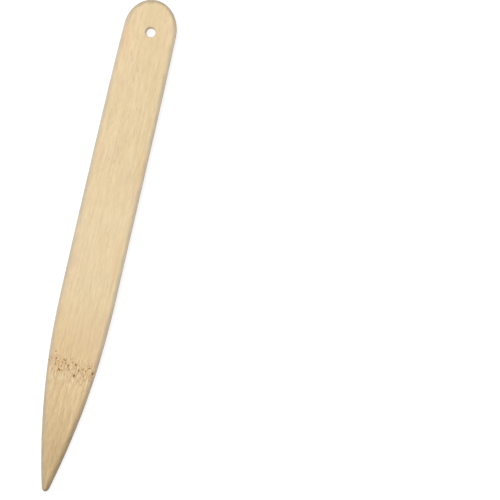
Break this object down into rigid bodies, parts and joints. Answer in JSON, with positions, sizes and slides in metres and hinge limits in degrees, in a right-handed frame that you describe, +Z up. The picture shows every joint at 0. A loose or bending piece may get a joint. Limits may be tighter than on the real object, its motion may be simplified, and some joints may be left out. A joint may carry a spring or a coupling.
{
  "type": "bamboo paper folder",
  "caption": "Flat bamboo folder for creasing, scoring and burnishing paper: rounded head with a hanging hole, parallel sides and a long spear-point tip.",
  "frame": {"origin": "on the table under the middle of the folder's length and width", "axes": "+X along the length from the holed head to the pointed tip, +Y across the width, +Z up through the thickness"},
  "size_m": [0.2, 0.022, 0.003],
  "materials": {
    "bamboo": "pale straw bamboo, sanded satin, fine fibres along the length"
  },
  "bodies": {
    "root": {"bamboo_folder": "bamboo"}
  },
  "joints": []
}
